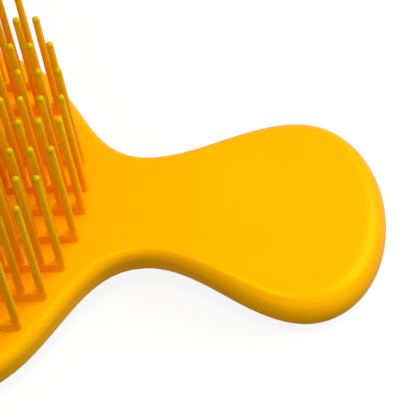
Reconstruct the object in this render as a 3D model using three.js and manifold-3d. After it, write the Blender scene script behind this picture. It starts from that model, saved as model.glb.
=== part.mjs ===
import * as THREE from 'three';
import { mergeVertices } from 'three/addons/utils/BufferGeometryUtils.js';
import Module from 'manifold-3d';

// Leaf-shaped detangling brush, lying on its back with the pins up, in millimetres.
// The pieces are drawn flat, with the neck at x = 0, the handle towards +X and the face at z = 0.

// Plan of the body, measured along the axis from the neck
const HANDLE_LENGTH = 50.4;
const HANDLE_WIDTH = 50.2;
const HANDLE_BELLY = 32.9;
const HANDLE_END_FULLNESS = 0.56;
const HANDLE_BELLY_EASE = 11.3;
const NECK_WIDTH = 26.7;
const NECK_TO_HANDLE_EASE = 11.2;
const NECK_TO_HEAD_EASE = 17.7;
const HEAD_LENGTH = 110;
const HEAD_WIDTH = 90;
const HEAD_BELLY = 41.2;
const HEAD_SHOULDER_EASE = 25.1;
const HEAD_SIDE_EASE = 36;
const TIP_RADIUS = 6;
const TIP_HALF_ANGLE = THREE.MathUtils.degToRad(38);
const TIP_EASE = 26;
const CURVE_STEPS = 12;

// Section of the body
const BODY_THICKNESS = 5.7;
const EDGE_DEPTH = 4.9;
const EDGE_INSET = 4;
const EDGE_STEPS = 4;
const FACE_WALL = 2;
const RIM_WALL = 1.8;
const LEDGE_WIDTH = 1.6;
const COVER_THICKNESS = 1.6;
const COVER_RECESS = 0.2;
const CLEARANCE = 0.3;

// The handle bends away from the pins just behind the neck
const BEND_START = 0.6;
const BEND_LENGTH = 20.4;
const BEND_ANGLE = THREE.MathUtils.degToRad(10.8);
const BEND_STEPS = 6;
const REST_FLAT = 0.5;

// Pins and the strips that carry them
const MIDDLE_GAP = 6;
const ROW_PITCH = 7.25;
const ROW_SHIFT = 1.2;
const PIN_PITCH = 4.1;
const PIN_MARGIN = 3.6;
const PIN_HEIGHT = 29.4;
const PIN_ROOT_DIAMETER = 1.8;
const PIN_TIP_DIAMETER = 1.5;
const PIN_SIDES = 6;
const FIRST_PIN = 13;
const FIRST_PIN_ARC = 45;
const TIP_TO_LAST_PIN = 11;
const RAIL_HEIGHT = 2.4;
const RAIL_THICKNESS = 1.8;
const FLANGE_WIDTH = 3.4;
const FLANGE_THICKNESS = 0.7;
const ROUND_END_STEPS = 4;

// Pegs that close the cover, and the ribs that press on the strips
const PEG_DIAMETER = 2;
const PEG_SIDES = 12;
const BOSS_DIAMETER = 4.8;
const NECK_PEG = 18;
const HANDLE_END_TO_PEG = 13;
const TIP_TO_PEG = 7;
const PRESS_RIB_THICKNESS = 1.6;
const FIRST_PRESS_RIB = 30;
const PRESS_RIB_PITCH = 16;
const TIP_TO_PRESS_RIB = 28;

const wasm = await Module();
wasm.setup();

function toSolid(geometry) {
  const bare = geometry.clone();
  bare.deleteAttribute('normal');
  bare.deleteAttribute('uv');
  const welded = mergeVertices(bare, 1e-4);
  return new wasm.Manifold(new wasm.Mesh({
    numProp: 3,
    vertProperties: new Float32Array(welded.attributes.position.array),
    triVerts: new Uint32Array(welded.index.array),
  }));
}

function toGeometry(solid) {
  const mesh = solid.getMesh();
  const geometry = new THREE.BufferGeometry();
  geometry.setAttribute('position', new THREE.BufferAttribute(mesh.vertProperties, 3));
  geometry.setIndex(new THREE.BufferAttribute(mesh.triVerts, 1));
  return geometry;
}

// A point on a straight run adds nothing, and leaves an inset without a direction of its own
function turningPoints(points) {
  return points.filter((p, i) => {
    if (i === 0 || i === points.length - 1) {
      return true;
    }
    const before = p.clone().sub(points[i - 1]);
    const after = points[i + 1].clone().sub(p);
    return Math.abs(before.cross(after)) > 1e-3;
  });
}

// Plan outline: the upper half from the handle end to the leaf tip, then its mirror image
function bodyOutline() {
  const tipCentre = HEAD_LENGTH - TIP_RADIUS;
  const tipStart = new THREE.Vector2(
    -tipCentre - TIP_RADIUS * Math.sin(TIP_HALF_ANGLE),
    TIP_RADIUS * Math.cos(TIP_HALF_ANGLE),
  );
  const endLength = HANDLE_LENGTH - HANDLE_BELLY;
  const half = new THREE.Path();
  half.moveTo(HANDLE_LENGTH, 0);
  half.bezierCurveTo(
    HANDLE_LENGTH, HANDLE_END_FULLNESS * HANDLE_WIDTH / 2,
    HANDLE_BELLY + HANDLE_END_FULLNESS * endLength, HANDLE_WIDTH / 2,
    HANDLE_BELLY, HANDLE_WIDTH / 2,
  );
  half.bezierCurveTo(
    HANDLE_BELLY - HANDLE_BELLY_EASE, HANDLE_WIDTH / 2,
    NECK_TO_HANDLE_EASE, NECK_WIDTH / 2,
    0, NECK_WIDTH / 2,
  );
  half.bezierCurveTo(
    -NECK_TO_HEAD_EASE, NECK_WIDTH / 2,
    HEAD_SHOULDER_EASE - HEAD_BELLY, HEAD_WIDTH / 2,
    -HEAD_BELLY, HEAD_WIDTH / 2,
  );
  half.bezierCurveTo(
    -HEAD_BELLY - HEAD_SIDE_EASE, HEAD_WIDTH / 2,
    tipStart.x + TIP_EASE * Math.cos(TIP_HALF_ANGLE), tipStart.y + TIP_EASE * Math.sin(TIP_HALF_ANGLE),
    tipStart.x, tipStart.y,
  );
  const tipTurn = Math.PI / 2 + TIP_HALF_ANGLE;
  half.absarc(-tipCentre, 0, TIP_RADIUS, tipTurn, Math.PI, false);
  const kept = turningPoints(half.getPoints(CURVE_STEPS));
  const mirrored = kept.slice(1, -1).reverse().map((p) => new THREE.Vector2(p.x, -p.y));
  return [...kept, ...mirrored];
}

function insetOutline(points, distance) {
  return points.map((p, i) => {
    const before = points[(i + points.length - 1) % points.length];
    const after = points[(i + 1) % points.length];
    const along = after.clone().sub(before).normalize();
    return new THREE.Vector2(p.x - along.y * distance, p.y + along.x * distance);
  });
}

function isInside(x, y, points) {
  let inside = false;
  points.forEach((p, i) => {
    const q = points[(i + 1) % points.length];
    const crosses = (p.y > y) !== (q.y > y);
    if (crosses && x < p.x + (q.x - p.x) * (y - p.y) / (q.y - p.y)) {
      inside = !inside;
    }
  });
  return inside;
}

function plate(points, bottom, top) {
  const depth = top - bottom;
  const geometry = new THREE.ExtrudeGeometry(new THREE.Shape(points), { depth, bevelEnabled: false });
  return toSolid(geometry.translate(0, 0, bottom));
}

// A bar along X with round ends
function roundBar(xFrom, xTo, y, width, bottom, top) {
  const shape = new THREE.Shape();
  shape.absarc(xTo, y, width / 2, -Math.PI / 2, Math.PI / 2, false);
  shape.absarc(xFrom, y, width / 2, Math.PI / 2, 3 * Math.PI / 2, false);
  const depth = top - bottom;
  const options = { depth, bevelEnabled: false, curveSegments: ROUND_END_STEPS };
  return toSolid(new THREE.ExtrudeGeometry(shape, options).translate(0, 0, bottom));
}

function post(x, y, diameter, bottom, top) {
  const geometry = new THREE.CylinderGeometry(diameter / 2, diameter / 2, top - bottom, PEG_SIDES);
  return toSolid(geometry.rotateX(Math.PI / 2).translate(x, y, (bottom + top) / 2));
}

// Body blank: the outline with an elliptical edge on the pin side only
function bodyBlank(points) {
  const geometry = new THREE.ExtrudeGeometry(new THREE.Shape(points), {
    depth: BODY_THICKNESS,
    bevelThickness: EDGE_DEPTH,
    bevelSize: EDGE_INSET,
    bevelOffset: -EDGE_INSET,
    bevelSegments: EDGE_STEPS,
  });
  const blank = toSolid(geometry.translate(0, 0, -EDGE_DEPTH - BODY_THICKNESS));
  return blank.intersect(plate(insetOutline(points, -1), -BODY_THICKNESS, 1));
}

// The bend: flat up to BEND_START, then an arc on the face, then straight again
function bent(point) {
  const past = point.x - BEND_START;
  if (past <= 0) {
    return point;
  }
  const radius = BEND_LENGTH / BEND_ANGLE;
  const angle = BEND_ANGLE * Math.min(past / BEND_LENGTH, 1);
  const straight = Math.max(past - BEND_LENGTH, 0);
  const reach = radius + point.z;
  return new THREE.Vector3(
    BEND_START + reach * Math.sin(angle) + straight * Math.cos(angle),
    point.y,
    reach * Math.cos(angle) - radius - straight * Math.sin(angle),
  );
}

function crossing(p, q, x) {
  const [low, high] = p.x < q.x ? [p, q] : [q, p];
  return low.clone().lerp(high, (x - low.x) / (high.x - low.x)).setX(x);
}

function clip(corners, x, side) {
  const kept = [];
  corners.forEach((p, i) => {
    const q = corners[(i + 1) % corners.length];
    if ((p.x - x) * side >= 0) {
      kept.push(p);
    }
    if ((p.x - x) * (q.x - x) < 0) {
      kept.push(crossing(p, q, x));
    }
  });
  return kept;
}

// Splits every triangle that a plane across the axis cuts, so that the skin can bend there
function sliceAcross(triangles, x) {
  const sliced = [];
  triangles.forEach((corners) => {
    [-1, 1].forEach((side) => {
      const part = clip(corners, x, side);
      for (let i = 2; i < part.length; i += 1) {
        sliced.push([part[0], part[i - 1], part[i]]);
      }
    });
  });
  return sliced;
}

function bendHandle(solid) {
  const position = toGeometry(solid).toNonIndexed().attributes.position;
  let triangles = [];
  for (let i = 0; i < position.count; i += 3) {
    triangles.push([0, 1, 2].map((k) => new THREE.Vector3().fromBufferAttribute(position, i + k)));
  }
  for (let step = 0; step <= BEND_STEPS; step += 1) {
    triangles = sliceAcross(triangles, BEND_START + BEND_LENGTH * step / BEND_STEPS);
  }
  return toSolid(new THREE.BufferGeometry().setFromPoints(triangles.flat().map(bent)));
}

// Places along a row, from a line that curves across the neck end to the far edge of the pin field
function pinPlaces(y, field) {
  const places = [];
  const first = -FIRST_PIN - y ** 2 / (2 * FIRST_PIN_ARC);
  for (let x = first; x > TIP_TO_LAST_PIN - HEAD_LENGTH; x -= PIN_PITCH) {
    if (isInside(x, y, field)) {
      places.push(x);
    }
  }
  return places;
}

function pin(x, y) {
  const root = PIN_ROOT_DIAMETER / 2;
  const tip = PIN_TIP_DIAMETER / 2;
  const profile = [
    new THREE.Vector2(0, RAIL_HEIGHT - root),
    new THREE.Vector2(root, RAIL_HEIGHT - root),
    new THREE.Vector2(tip, PIN_HEIGHT - tip),
    new THREE.Vector2(0, PIN_HEIGHT),
  ];
  const geometry = new THREE.LatheGeometry(profile, PIN_SIDES);
  return toSolid(geometry.rotateX(Math.PI / 2).translate(x, y, 0));
}

const flangeTop = -FACE_WALL - CLEARANCE;
const flangeBottom = flangeTop - FLANGE_THICKNESS;

function pinStrip(y, places) {
  const xFrom = places[places.length - 1];
  const xTo = places[0];
  let strip = roundBar(xFrom, xTo, y, RAIL_THICKNESS, flangeBottom, RAIL_HEIGHT);
  const flange = roundBar(xFrom, xTo, y, FLANGE_WIDTH, flangeBottom, flangeTop);
  strip = strip.add(flange.intersect(cavitySpace));
  places.forEach((x) => {
    strip = strip.add(pin(x, y));
  });
  return strip;
}

const outline = bodyOutline();
const coverSeat = insetOutline(outline, RIM_WALL);
const cavity = insetOutline(outline, RIM_WALL + LEDGE_WIDTH);
const coverBottom = -BODY_THICKNESS + COVER_RECESS;
const coverTop = coverBottom + COVER_THICKNESS;
const seatTop = coverTop + CLEARANCE;
const pegPlaces = [NECK_PEG, HANDLE_LENGTH - HANDLE_END_TO_PEG, TIP_TO_PEG - HEAD_LENGTH];
const cavitySpace = plate(insetOutline(cavity, CLEARANCE), coverBottom, -FACE_WALL);

const pinField = insetOutline(outline, PIN_MARGIN);
const rows = [];
const rowsASide = Math.ceil((HEAD_WIDTH / 2 - PIN_MARGIN - ROW_SHIFT - MIDDLE_GAP / 2) / ROW_PITCH);
[['left', 1], ['right', -1]].forEach(([side, sign]) => {
  for (let row = 0; row < rowsASide; row += 1) {
    const y = ROW_SHIFT + sign * (MIDDLE_GAP / 2 + row * ROW_PITCH);
    rows.push({ name: `pin_strip_${side}_${row + 1}`, y, places: pinPlaces(y, pinField) });
  }
});

// Face shell: hollow from the back, with a ledge for the cover and a slot for each strip
let shell = bodyBlank(outline);
shell = shell.subtract(plate(coverSeat, -BODY_THICKNESS - 1, seatTop));
shell = shell.subtract(plate(cavity, seatTop - 1, -FACE_WALL));
pegPlaces.forEach((x) => {
  shell = shell.add(post(x, 0, BOSS_DIAMETER, coverTop + CLEARANCE, -FACE_WALL / 2));
  shell = shell.subtract(post(x, 0, PEG_DIAMETER + 2 * CLEARANCE, -BODY_THICKNESS, -FACE_WALL));
});
rows.forEach((row) => {
  const width = RAIL_THICKNESS + 2 * CLEARANCE;
  shell = shell.subtract(
    roundBar(row.places[row.places.length - 1], row.places[0], row.y, width, -BODY_THICKNESS, 1),
  );
});

// Back cover: a plate in the rim, with pegs for the bosses and ribs that hold the strips up
let cover = plate(insetOutline(coverSeat, CLEARANCE), coverBottom, coverTop);
pegPlaces.forEach((x) => {
  cover = cover.add(post(x, 0, PEG_DIAMETER, coverTop - COVER_THICKNESS / 2, flangeTop));
});
for (let x = FIRST_PRESS_RIB; x <= HEAD_LENGTH - TIP_TO_PRESS_RIB; x += PRESS_RIB_PITCH) {
  const height = flangeBottom - CLEARANCE - coverBottom - COVER_THICKNESS / 2;
  const rib = new THREE.BoxGeometry(PRESS_RIB_THICKNESS, HEAD_WIDTH, height);
  rib.translate(-x, 0, flangeBottom - CLEARANCE - height / 2);
  cover = cover.add(toSolid(rib).intersect(cavitySpace));
}

// The brush rests on the end of its handle and the tip of its leaf, each cut flat a little
const handleEnd = bent(new THREE.Vector3(HANDLE_LENGTH, 0, -BODY_THICKNESS));
const restTilt = Math.atan2(-BODY_THICKNESS - handleEnd.z, handleEnd.x + HEAD_LENGTH);
const restDrop = BODY_THICKNESS * Math.cos(restTilt) + HEAD_LENGTH * Math.sin(restTilt) - REST_FLAT;

function flattenRests(solid) {
  const size = 2 * (HANDLE_LENGTH + HEAD_LENGTH);
  const floor = new THREE.BoxGeometry(size, size, size).translate(0, 0, -size / 2 - restDrop);
  return solid.subtract(toSolid(floor.rotateY(restTilt)));
}

const plastic = { color: 0xffb400, roughness: 0.42, metalness: 0 };

function piece(name, solid) {
  const facets = toGeometry(solid).toNonIndexed();
  facets.computeVertexNormals();
  const mesh = new THREE.Mesh(facets, new THREE.MeshStandardMaterial(plastic));
  mesh.name = name;
  return mesh;
}

const brush = new THREE.Group();
brush.add(piece('face_shell', flattenRests(bendHandle(shell))));
brush.add(piece('back_cover', flattenRests(bendHandle(cover))));
rows.forEach((row) => {
  brush.add(piece(row.name, pinStrip(row.y, row.places)));
});
brush.rotation.y = -restTilt;
brush.position.z = restDrop;
brush.updateMatrixWorld(true);
const extent = new THREE.Box3().setFromObject(brush, true);
brush.position.x = -(extent.min.x + extent.max.x) / 2;

export default brush;
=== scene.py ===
import math
import bpy
import bmesh
from mathutils import Matrix, Vector


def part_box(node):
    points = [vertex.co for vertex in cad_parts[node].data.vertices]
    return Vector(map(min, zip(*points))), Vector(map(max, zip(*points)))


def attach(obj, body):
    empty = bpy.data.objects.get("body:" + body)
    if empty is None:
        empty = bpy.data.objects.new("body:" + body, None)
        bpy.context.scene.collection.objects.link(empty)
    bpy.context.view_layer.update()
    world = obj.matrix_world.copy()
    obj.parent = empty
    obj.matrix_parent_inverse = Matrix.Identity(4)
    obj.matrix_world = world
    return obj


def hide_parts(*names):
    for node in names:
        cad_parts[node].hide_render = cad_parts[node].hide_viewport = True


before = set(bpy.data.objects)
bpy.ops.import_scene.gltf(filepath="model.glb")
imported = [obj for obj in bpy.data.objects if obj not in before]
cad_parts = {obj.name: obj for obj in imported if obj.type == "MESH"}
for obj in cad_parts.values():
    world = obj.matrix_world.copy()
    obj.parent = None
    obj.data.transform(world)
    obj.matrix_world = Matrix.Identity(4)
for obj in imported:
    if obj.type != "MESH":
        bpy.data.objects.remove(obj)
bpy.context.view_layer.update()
mm = 0.001

# plan of the leaf in millimetres, from the neck: handle towards +X, head towards -X
# (neck and handle differ from the solids by up to half a millimetre, to follow the photograph, and
# both ends are a hair shorter, to stay inside the solids' box)
leaf = {
    "handleLength": 50.33, "handleWidth": 50.7, "handleBelly": 32.9,
    "endFullness": 0.56, "bellyEase": 11.3,
    "neckWidth": 26.4, "neckToHandle": 11.2, "neckToHead": 17.7,
    "headLength": 109.88, "headWidth": 90.0, "headBelly": 41.2,
    "shoulderEase": 25.1, "sideEase": 36.0,
    "tipRadius": 6.0, "tipHalfAngle": math.radians(38), "tipEase": 26.0,
    "curveSteps": 20,
}

# section of the body, and the bend from the neck into the handle
body = {
    "thickness": 5.7, "edgeSteps": 10, "edgeDraft": 0.01, "faceLoops": (0.3, 1.2),
    "headEdge": (1.9, 2.7), "handleEdge": (4.6, 4.9), "edgeGrows": (0.0, 38.0),
    "rimWall": 1.8, "recess": 2.1, "rimRound": 0.3, "rimSteps": 3, "footRound": 0.8, "footSteps": 5,
    "bendStart": 0.6, "bendLength": 20.4, "bendAngle": math.radians(10.8), "bendCuts": 14,
    "restFlat": 0.5, "solidTip": (-110.0, 0.0, -4.9),   # the solid's tip, which gives the place along X
}
slack = {"merge": 0.01, "cut": 1e-4, "level": 1e-3}   # millimetres
cornerAngle = 1.2                  # radians: edges sharper than this are rounded
smoothAngle = math.radians(38)     # edges flatter than this are shaded smooth


def bentPoint(p):
    past = p.x - body["bendStart"]
    if past <= 0:
        return p.copy()
    radius = body["bendLength"] / body["bendAngle"]
    angle = body["bendAngle"] * min(past / body["bendLength"], 1)
    straight = max(past - body["bendLength"], 0)
    reach = radius + p.z
    x = body["bendStart"] + reach * math.sin(angle) + straight * math.cos(angle)
    z = reach * math.cos(angle) - radius - straight * math.sin(angle)
    return Vector((x, p.y, z))


# the brush lies on the end of its handle and the tip of its leaf
handleEnd = bentPoint(Vector((leaf["handleLength"], 0, -body["thickness"])))
restTilt = math.atan2(-body["thickness"] - handleEnd.z, handleEnd.x + leaf["headLength"])
restLift = body["thickness"] * math.cos(restTilt) + leaf["headLength"] * math.sin(restTilt)
restLift -= body["restFlat"]
tilted = Matrix.Rotation(-restTilt, 4, "Y")
tipX = (tilted @ Vector(body["solidTip"])).x
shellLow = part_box("face_shell")[0]
placed = Matrix.Translation((shellLow.x / mm - tipX, 0, restLift)) @ tilted
toMetres = Matrix.Scale(mm, 4)
print("frame read: tilt %.3f deg, lift %.3f mm, shift %.3f mm"
      % (math.degrees(restTilt), restLift, placed.translation.x))


# knots of the outline, each with the pull before it and the pull after it
def leafKnots():
    half, neck, head = (leaf[k] / 2 for k in ("handleWidth", "neckWidth", "headWidth"))
    end, belly, headEnd = leaf["handleLength"], leaf["handleBelly"], -leaf["headLength"]
    along = Vector((math.cos(leaf["tipHalfAngle"]), math.sin(leaf["tipHalfAngle"])))
    tipSide = Vector((headEnd + leaf["tipRadius"] * (1 - along.y), leaf["tipRadius"] * along.x))
    tipPull = 4 / 3 * math.tan((math.pi / 2 - leaf["tipHalfAngle"]) / 4) * leaf["tipRadius"]
    endPull, sidePull = leaf["endFullness"] * half, leaf["endFullness"] * (end - belly)
    upper = [
        ((belly, half), (belly + sidePull, half), (belly - leaf["bellyEase"], half)),
        ((0, neck), (leaf["neckToHandle"], neck), (-leaf["neckToHead"], neck)),
        ((-leaf["headBelly"], head), (leaf["shoulderEase"] - leaf["headBelly"], head),
         (-leaf["headBelly"] - leaf["sideEase"], head)),
        (tuple(tipSide), tuple(tipSide + along * leaf["tipEase"]), tuple(tipSide - along * tipPull)),
    ]
    lower = [tuple((x, -y) for x, y in (knot, after, before))
             for knot, before, after in reversed(upper)]
    handleKnot = ((end, 0), (end, -endPull), (end, endPull))
    tipKnot = ((headEnd, 0), (headEnd, tipPull), (headEnd, -tipPull))
    return [handleKnot] + upper + [tipKnot] + lower


# the outline is drawn as one closed curve and filled as one face
def leafFace(z):
    knots = leafKnots()
    curve = bpy.data.curves.new("leafOutline", "CURVE")
    curve.dimensions = "2D"
    curve.fill_mode = "NONE"
    curve.resolution_u = leaf["curveSteps"]
    spline = curve.splines.new("BEZIER")
    spline.bezier_points.add(len(knots) - 1)
    spline.use_cyclic_u = True
    for point, (knot, before, after) in zip(spline.bezier_points, knots):
        point.handle_left_type = point.handle_right_type = "FREE"
        point.co = (*knot, 0)
        point.handle_left = (*before, 0)
        point.handle_right = (*after, 0)
    drawing = bpy.data.objects.new("leafOutline", curve)
    bpy.context.scene.collection.objects.link(drawing)
    bm = bmesh.new()
    bm.from_mesh(drawing.to_mesh())
    bpy.data.objects.remove(drawing)
    bpy.data.curves.remove(curve)
    bmesh.ops.remove_doubles(bm, verts=bm.verts, dist=slack["merge"])
    bmesh.ops.contextual_create(bm, geom=bm.edges[:])
    bmesh.ops.translate(bm, verts=bm.verts, vec=(0, 0, z))
    bmesh.ops.recalc_face_normals(bm, faces=bm.faces)
    bm.faces.ensure_lookup_table()
    if bm.faces[0].normal.z < 0:
        bmesh.ops.reverse_faces(bm, faces=bm.faces)
    return bm


def vertsOf(geom):
    return [g for g in geom if isinstance(g, bmesh.types.BMVert)]


def raised(bm, face, height):
    made = bmesh.ops.extrude_face_region(bm, geom=[face])["geom"]
    bmesh.ops.translate(bm, verts=vertsOf(made), vec=(0, 0, height))
    return next(g for g in made if isinstance(g, bmesh.types.BMFace))


def drawnIn(bm, face, width):
    bmesh.ops.inset_region(bm, faces=[face], use_boundary=True, use_even_offset=True, thickness=width)


def softened(bm, edges, width, steps):
    bmesh.ops.bevel(bm, geom=edges, offset=width, offset_type="OFFSET", segments=steps,
                    profile=0.5, affect="EDGES", material=-1, clamp_overlap=True)


def cutAcross(bm, place, direction):
    bmesh.ops.bisect_plane(bm, geom=bm.verts[:] + bm.edges[:] + bm.faces[:],
                           plane_co=place, plane_no=direction, dist=slack["cut"])


def bendHandle(bm):
    for cut in range(body["bendCuts"] + 1):
        x = body["bendStart"] + body["bendLength"] * cut / body["bendCuts"]
        cutAcross(bm, (x, 0, 0), (1, 0, 0))
    for v in bm.verts:
        v.co = bentPoint(v.co)


# what would pass below the surface is pressed flat on it
def flattenRests(bm):
    cutAcross(bm, (0, 0, 0), (0, 0, 1))
    for v in bm.verts:
        v.co.z = max(v.co.z, 0)
    bmesh.ops.remove_doubles(bm, verts=bm.verts, dist=slack["level"])


def finishedPiece(name, bm, material, node):
    bmesh.ops.transform(bm, matrix=toMetres, verts=bm.verts)
    bmesh.ops.recalc_face_normals(bm, faces=bm.faces)
    for face in bm.faces:
        face.smooth = True
    for edge in bm.edges:
        edge.smooth = len(edge.link_faces) != 2 or edge.calc_face_angle(0) < smoothAngle
    mesh = bpy.data.meshes.new(name)
    bm.to_mesh(mesh)
    bm.free()
    mesh.materials.append(material)
    piece = bpy.data.objects.new(name, mesh)
    bpy.context.scene.collection.objects.link(piece)
    flatFirst = piece.modifiers.new("flatFirst", "WEIGHTED_NORMAL")   # broad faces stay flat
    flatFirst.keep_sharp = True
    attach(piece, "root")
    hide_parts(node)
    return piece


# satin moulded plastic: faint flow clouds in the colour, a fine spark-eroded grain
moulding = {"cloudDetail": 3, "cloudEnds": (0.3, 0.7), "grainDetail": 2, "grainStrength": 0.3}
bodyPlastic = {
    "deep": (0.96, 0.42, 0.0, 1), "light": (0.98, 0.44, 0.0, 1), "cloud": 38.0,
    "grain": 5200.0, "grainDepth": 0.00002, "rough": (0.25, 0.31),
    "specular": 0.03, "pearl": 0.06, "sheen": (1.0, 0.9, 0.1, 1),
}


def satinPlastic(name, look):
    material = bpy.data.materials.new(name)
    material.use_nodes = True
    nodes, links = material.node_tree.nodes, material.node_tree.links
    shader = nodes["Principled BSDF"]
    shader.inputs["Specular IOR Level"].default_value = look["specular"]
    shader.inputs["Specular Tint"].default_value = look["sheen"]
    shader.inputs["Metallic"].default_value = look["pearl"]
    where = nodes.new("ShaderNodeTexCoord")
    cloud = nodes.new("ShaderNodeTexNoise")
    cloud.inputs["Scale"].default_value = look["cloud"]
    cloud.inputs["Detail"].default_value = moulding["cloudDetail"]
    links.new(where.outputs["Object"], cloud.inputs["Vector"])
    tint = nodes.new("ShaderNodeValToRGB")
    for stop, position, tone in zip(tint.color_ramp.elements, moulding["cloudEnds"], ("deep", "light")):
        stop.position, stop.color = position, look[tone]
    links.new(cloud.outputs["Fac"], tint.inputs["Fac"])
    links.new(tint.outputs["Color"], shader.inputs["Base Color"])
    grain = nodes.new("ShaderNodeTexNoise")
    grain.inputs["Scale"].default_value = look["grain"]
    grain.inputs["Detail"].default_value = moulding["grainDetail"]
    links.new(where.outputs["Object"], grain.inputs["Vector"])
    gloss = nodes.new("ShaderNodeMapRange")
    gloss.inputs["To Min"].default_value, gloss.inputs["To Max"].default_value = look["rough"]
    links.new(grain.outputs["Fac"], gloss.inputs["Value"])
    links.new(gloss.outputs["Result"], shader.inputs["Roughness"])
    bump = nodes.new("ShaderNodeBump")
    bump.inputs["Strength"].default_value = moulding["grainStrength"]
    bump.inputs["Distance"].default_value = look["grainDepth"]
    links.new(grain.outputs["Fac"], bump.inputs["Height"])
    links.new(bump.outputs["Normal"], shader.inputs["Normal"])
    return material


satinBody = satinPlastic("satinBodyPlastic", bodyPlastic)
print("body plastic made")


# width and depth of the rounded edge: crisp round the head, fuller along the handle
def edgeSize(x):
    start, end = body["edgeGrows"]
    share = min(max((x - start) / (end - start), 0), 1)
    share *= share * (3 - 2 * share)
    return [crisp + (full - crisp) * share for crisp, full in zip(body["headEdge"], body["handleEdge"])]


# how each corner of the outline moves when the leaf is drawn in by one millimetre
def inwardSteps():
    bm = leafFace(0)
    face = bm.faces[0]
    corners = [v.co.copy() for v in face.verts]
    drawnIn(bm, face, 1.0)
    steps = [v.co - corner for v, corner in zip(face.verts, corners)]
    bm.free()
    return steps


# the sharp edges at the foot of the wall
def rimEdges(bm):
    return [e for e in bm.edges if len(e.link_faces) == 2 and e.calc_face_angle(0) > cornerAngle
            and all(abs(v.co.z + body["thickness"]) < slack["level"] for v in e.verts)]


# face shell: wall, elliptical edge in small insets, flat face, then the rim and its recess
def makeFaceShell():
    bm = leafFace(-body["thickness"])
    back = bm.faces[0]
    face = raised(bm, back, body["thickness"])
    for v in face.verts:
        v.co.z = -edgeSize(v.co.x)[1]
    corners = [v.co.copy() for v in face.verts]
    inward = inwardSteps()
    for i in range(1, body["edgeSteps"] + 1):
        angle = math.pi / 2 * i / body["edgeSteps"]
        drawnIn(bm, face, body["edgeDraft"])
        for v, corner, step in zip(face.verts, corners, inward):
            width, depth = edgeSize(corner.x)
            v.co = corner + step * width * (1 - math.cos(angle))
            v.co.z = depth * (math.sin(angle) - 1)
    for loop in body["faceLoops"]:
        drawnIn(bm, face, loop)
    bmesh.ops.recalc_face_normals(bm, faces=bm.faces)
    drawnIn(bm, back, body["rimWall"])
    raised(bm, back, body["recess"])
    mouth = set(back.verts)
    bm.faces.remove(back)   # the mouth of the recess is open
    bmesh.ops.recalc_face_normals(bm, faces=bm.faces)
    footEdges = [e for e in rimEdges(bm) if not mouth.intersection(e.verts)]
    softened(bm, footEdges, body["footRound"], body["footSteps"])
    softened(bm, rimEdges(bm), body["rimRound"], body["rimSteps"])
    bendHandle(bm)
    bmesh.ops.transform(bm, matrix=placed, verts=bm.verts)
    flattenRests(bm)
    return finishedPiece("faceShell", bm, satinBody, "face_shell")


faceShell = makeFaceShell()
print("face shell:", len(faceShell.data.polygons), "faces")

# back cover: the plate that closes the recess
cover = {"clearance": 0.3, "thickness": 1.6, "sunk": 0.2, "edgeRound": 0.35, "edgeSteps": 3}


def makeBackCover():
    bm = leafFace(-body["thickness"] + cover["sunk"])
    plate = bm.faces[0]
    drawnIn(bm, plate, body["rimWall"] + cover["clearance"])
    bmesh.ops.delete(bm, geom=[f for f in bm.faces if f is not plate], context="FACES")
    raised(bm, plate, cover["thickness"])
    bmesh.ops.recalc_face_normals(bm, faces=bm.faces)
    corners = [e for e in bm.edges if e.calc_face_angle(0) > cornerAngle]
    softened(bm, corners, cover["edgeRound"], cover["edgeSteps"])
    bendHandle(bm)
    bmesh.ops.transform(bm, matrix=placed, verts=bm.verts)
    flattenRests(bm)
    return finishedPiece("backCover", bm, satinBody, "back_cover")


backCover = makeBackCover()
print("back cover:", len(backCover.data.polygons), "faces")

# pin strips: a low rail with a comb of slender pins
pins = {
    "middleGap": 6.0, "rowPitch": 7.25, "rowShift": 1.2,
    "pinPitch": 4.1, "margin": 3.6, "firstPin": 13.0, "firstArc": 45.0, "tipToLast": 11.0,
    "height": 29.4, "rootWidth": 1.8, "tipWidth": 1.5, "sides": 12,
    "footFlare": ((-0.3, 0.14), (0.1, 0.042), (0.6, 0.0)),   # above the rail's top, beyond the root
    "domeAngles": (0.0, 0.5, 1.0),
    "railHeight": 2.4, "railWidth": 1.8, "railSink": 0.3, "railSides": 14,
    "railRound": 0.35, "railSteps": 3,
}
pinPlastic = {
    "deep": (0.98, 0.53, 0.0, 1), "light": (1.0, 0.55, 0.0, 1), "cloud": 90.0,
    "grain": 4200.0, "grainDepth": 0.00001, "rough": (0.36, 0.44),
    "specular": 0.03, "pearl": 0.04, "sheen": (0.90, 0.95, 0.05, 1),
    # painted shade by height above the face: deeper orange at the feet, darker and duller at the tips
    "paintedShade": ((0.15, (1, 0.78, 1, 1)), (0.80, (1, 1, 1, 1)), (0.92, (0.95, 1, 1, 1)),
             (1.0, (0.68, 0.84, 1, 1))),
}
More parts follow.
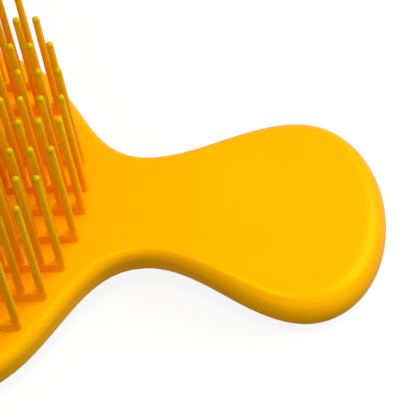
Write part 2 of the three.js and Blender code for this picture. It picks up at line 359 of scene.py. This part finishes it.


# the pins change from orange at their feet to a duller yellow at their tips, by height above the face:
# the deeper orange at the feet is painted shade, reddened as if by light bounced off the orange face
# and rails, and the darker, duller tips are painted shade that holds back the lamps' light on the domes
def paintPinShade(material, look):
    nodes, links = material.node_tree.nodes, material.node_tree.links
    upright = placed.to_3x3() @ Vector((0, 0, 1))
    faceLevel = upright.dot(placed.translation) * mm
    where = nodes.new("ShaderNodeTexCoord")
    height = nodes.new("ShaderNodeVectorMath")
    height.operation = "DOT_PRODUCT"
    height.inputs[1].default_value = upright
    links.new(where.outputs["Object"], height.inputs[0])
    share = nodes.new("ShaderNodeMapRange")
    share.inputs["From Min"].default_value = faceLevel
    share.inputs["From Max"].default_value = faceLevel + pins["height"] * mm
    links.new(height.outputs["Value"], share.inputs["Value"])
    paintedShade = nodes.new("ShaderNodeValToRGB")
    stops = paintedShade.color_ramp.elements
    while len(stops) < len(look["paintedShade"]):
        stops.new(0.5)   # put in its place just below
    for stop, (position, colour) in zip(stops, look["paintedShade"]):
        stop.position, stop.color = position, colour
    links.new(share.outputs["Result"], paintedShade.inputs["Fac"])
    base = nodes["Principled BSDF"].inputs["Base Color"]
    blend = nodes.new("ShaderNodeMix")
    blend.data_type = "RGBA"
    blend.blend_type = "MULTIPLY"
    blend.inputs["Factor"].default_value = 1
    links.new(base.links[0].from_socket, blend.inputs["A"])
    links.new(paintedShade.outputs["Color"], blend.inputs["B"])
    links.new(blend.outputs["Result"], base)


satinPins = satinPlastic("satinPinPlastic", pinPlastic)
paintPinShade(satinPins, pinPlastic)
print("pin plastic made")


# one pin, turned from its profile
def makePin(bm):
    root, tip, top = pins["rootWidth"] / 2, pins["tipWidth"] / 2, pins["height"]
    profile = [(root + flare, pins["railHeight"] + above) for above, flare in pins["footFlare"]]
    profile += [(tip * math.cos(a), top - tip + tip * math.sin(a)) for a in pins["domeAngles"]]
    profile = [(0, profile[0][1])] + profile + [(0, top)]
    verts = [bm.verts.new((r, 0, z)) for r, z in profile]
    edges = [bm.edges.new(pair) for pair in zip(verts, verts[1:])]
    bmesh.ops.spin(bm, geom=verts + edges, cent=(0, 0, 0), axis=(0, 0, 1), angle=2 * math.pi,
                   steps=pins["sides"], use_merge=True)
    bmesh.ops.remove_doubles(bm, verts=bm.verts, dist=slack["cut"])


def makeRail(bm, xFrom, xTo):
    turn = Matrix.Rotation(math.pi / pins["railSides"], 4, "Z")
    made = bmesh.ops.create_circle(bm, cap_ends=True, segments=pins["railSides"],
                                   radius=pins["railWidth"] / 2, matrix=turn)["verts"]
    for v in made:
        v.co.x += xTo if v.co.x > 0 else xFrom
        v.co.z = -pins["railSink"]
    base = next(f for f in bm.faces if len(f.verts) == pins["railSides"])
    top = raised(bm, base, pins["railHeight"] + pins["railSink"])
    softened(bm, list(top.edges), pins["railRound"], pins["railSteps"])


def insideField(x, y, field):
    hits = 0
    for p, q in zip(field, field[1:] + field[:1]):
        if (p.y > y) != (q.y > y) and x < p.x + (q.x - p.x) * (y - p.y) / (q.y - p.y):
            hits += 1
    return hits % 2 == 1


# the pin field is the leaf drawn in by the margin
def pinField():
    bm = leafFace(0)
    face = bm.faces[0]
    drawnIn(bm, face, pins["margin"])
    field = [v.co.copy() for v in face.verts]
    bm.free()
    return field


# the first pins of the rows lie on an arc, and the others follow at the pitch
def pinPlaces(y, field):
    places = []
    x = -pins["firstPin"] - y ** 2 / (2 * pins["firstArc"])
    while x > pins["tipToLast"] - leaf["headLength"]:
        if insideField(x, y, field):
            places.append(x)
        x -= pins["pinPitch"]
    return places


def makePinStrip(name, node, y, places):
    bm = bmesh.new()
    makePin(bm)
    single = bm.verts[:] + bm.edges[:] + bm.faces[:]
    for x in places[1:]:
        copied = bmesh.ops.duplicate(bm, geom=single)["geom"]
        bmesh.ops.translate(bm, verts=vertsOf(copied), vec=(x, y, 0))
    bmesh.ops.translate(bm, verts=vertsOf(single), vec=(places[0], y, 0))
    rail = bmesh.new()
    makeRail(rail, places[-1], places[0])
    bmesh.ops.translate(rail, verts=rail.verts, vec=(0, y, 0))
    railMesh = bpy.data.meshes.new("railDraft")
    rail.to_mesh(railMesh)
    rail.free()
    bm.from_mesh(railMesh)
    bpy.data.meshes.remove(railMesh)
    bmesh.ops.transform(bm, matrix=placed, verts=bm.verts)
    return finishedPiece(name, bm, satinPins, node)


field = pinField()
rowCount = sum(1 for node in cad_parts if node.startswith("pin_strip_left_"))
for side, sign in (("Left", 1), ("Right", -1)):
    for row in range(1, rowCount + 1):
        y = pins["rowShift"] + sign * (pins["middleGap"] / 2 + (row - 1) * pins["rowPitch"])
        places = pinPlaces(y, field)
        makePinStrip("pinStrip%s%d" % (side, row), "pin_strip_%s_%d" % (side.lower(), row), y, places)
        print("pin strip", side.lower(), row, ":", len(places), "pins")

# pale floor: white to the camera, with a trace of the shadow left in it
floorLook = {
    "size": 6.0, "drop": 0.0002, "paper": (0.97, 0.97, 0.97, 1), "bounce": (0.1, 0.1, 0.1, 1),
    "roughness": 0.9, "shadowShare": 0.12,
}


# the camera, mirrors and glass see the white background; other rays see what lights the object
def seenRays(nodes, links):
    rays = nodes.new("ShaderNodeLightPath")
    mirrored = nodes.new("ShaderNodeMath")
    mirrored.operation = "MAXIMUM"
    links.new(rays.outputs["Is Glossy Ray"], mirrored.inputs[0])
    links.new(rays.outputs["Is Transmission Ray"], mirrored.inputs[1])
    seen = nodes.new("ShaderNodeMath")
    seen.operation = "MAXIMUM"
    links.new(rays.outputs["Is Camera Ray"], seen.inputs[0])
    links.new(mirrored.outputs["Value"], seen.inputs[1])
    return seen.outputs["Value"]


def floorPaper():
    material = bpy.data.materials.new("paleFloorPaper")
    material.use_nodes = True
    nodes, links = material.node_tree.nodes, material.node_tree.links
    paper = nodes["Principled BSDF"]
    paper.inputs["Roughness"].default_value = floorLook["roughness"]
    paper.inputs["Specular IOR Level"].default_value = 0.0
    glow = nodes.new("ShaderNodeEmission")
    seen = seenRays(nodes, links)
    tone = nodes.new("ShaderNodeMix")
    tone.data_type = "RGBA"
    tone.inputs["A"].default_value = floorLook["bounce"]
    tone.inputs["B"].default_value = floorLook["paper"]
    links.new(seen, tone.inputs["Factor"])
    links.new(tone.outputs["Result"], paper.inputs["Base Color"])
    white = nodes.new("ShaderNodeMath")
    white.operation = "MULTIPLY"
    white.inputs[1].default_value = 1 - floorLook["shadowShare"]
    links.new(seen, white.inputs[0])
    mix = nodes.new("ShaderNodeMixShader")
    links.new(white.outputs["Value"], mix.inputs["Fac"])
    links.new(paper.outputs["BSDF"], mix.inputs[1])
    links.new(glow.outputs["Emission"], mix.inputs[2])
    links.new(mix.outputs["Shader"], nodes["Material Output"].inputs["Surface"])
    return material


def makeFloor():
    bm = bmesh.new()
    bmesh.ops.create_grid(bm, x_segments=1, y_segments=1, size=floorLook["size"] / 2)
    mesh = bpy.data.meshes.new("paleFloor")
    bm.to_mesh(mesh)
    bm.free()
    mesh.materials.append(floorPaper())
    floor = bpy.data.objects.new("paleFloor", mesh)
    floor.location.z = -floorLook["drop"]
    bpy.context.scene.collection.objects.link(floor)


makeFloor()

# soft studio light: a large lamp on the handle side, a smaller one above, a weak one in front,
# and a pale room
lamps = {
    "key": {"place": (0.43, 0.18, 0.33), "size": 0.45, "watts": 2.5},
    "top": {"place": (0.04, -0.03, 0.56), "size": 0.22, "watts": 1.2},
    "front": {"place": (0.0, -0.42, 0.30), "size": 0.35, "watts": 0.5},
}
room = {"ambient": 0.19, "seen": 1.0}
aim = Vector((0.02, 0, 0.01))


def makeLamps():
    for name, look in lamps.items():
        light = bpy.data.lights.new(name + "Lamp", "AREA")
        light.shape = "DISK"
        light.size = look["size"]
        light.energy = look["watts"]
        lamp = bpy.data.objects.new(name + "Lamp", light)
        lamp.location = look["place"]
        lamp.rotation_euler = (aim - lamp.location).to_track_quat("-Z", "Y").to_euler()
        bpy.context.scene.collection.objects.link(lamp)


def makeRoom():
    world = bpy.data.worlds.new("paleRoom")
    bpy.context.scene.world = world
    world.use_nodes = True
    nodes, links = world.node_tree.nodes, world.node_tree.links
    glow = nodes["Background"]
    glow.inputs["Color"].default_value = (1, 1, 1, 1)
    level = nodes.new("ShaderNodeMapRange")
    level.inputs["To Min"].default_value = room["ambient"]
    level.inputs["To Max"].default_value = room["seen"]
    links.new(seenRays(nodes, links), level.inputs["Value"])
    links.new(level.outputs["Result"], glow.inputs["Strength"])


makeLamps()
makeRoom()
print("floor, lamps and room made")

# camera: the photograph's view, by elevation, azimuth and roll, moved off the neck in millimetres
view = {
    "elevation": 51.292, "azimuth": 8.351, "roll": -6.95, "right": 12.816, "up": -1.2,
    "pixelsPerMm": 4.844, "distance": 430.0, "frameWidth": 416, "clipStart": 0.01,
}


def makeCamera():
    elevation, azimuth, roll = (math.radians(view[k]) for k in ("elevation", "azimuth", "roll"))
    level = Vector((math.sin(azimuth), -math.cos(azimuth), 0))
    back = level * math.cos(elevation) + Vector((0, 0, math.sin(elevation)))
    flatRight = (-back).cross(Vector((0, 0, 1))).normalized()
    flatUp = flatRight.cross(-back)
    right = flatRight * math.cos(roll) + flatUp * math.sin(roll)
    up = flatUp * math.cos(roll) - flatRight * math.sin(roll)
    neck = placed.translation
    place = (neck + right * view["right"] + up * view["up"] + back * view["distance"]) * mm
    lens = bpy.data.cameras.new("photoCamera")
    lens.sensor_fit = "HORIZONTAL"
    lens.angle = 2 * math.atan(view["frameWidth"] / 2 / (view["pixelsPerMm"] * view["distance"]))
    lens.clip_start = view["clipStart"]
    camera = bpy.data.objects.new("photoCamera", lens)
    camera.matrix_world = Matrix.Translation(place) @ Matrix((right, up, back)).transposed().to_4x4()
    bpy.context.scene.collection.objects.link(camera)
    bpy.context.scene.camera = camera


makeCamera()
bpy.context.scene.view_settings.view_transform = "Standard"
print("camera set")
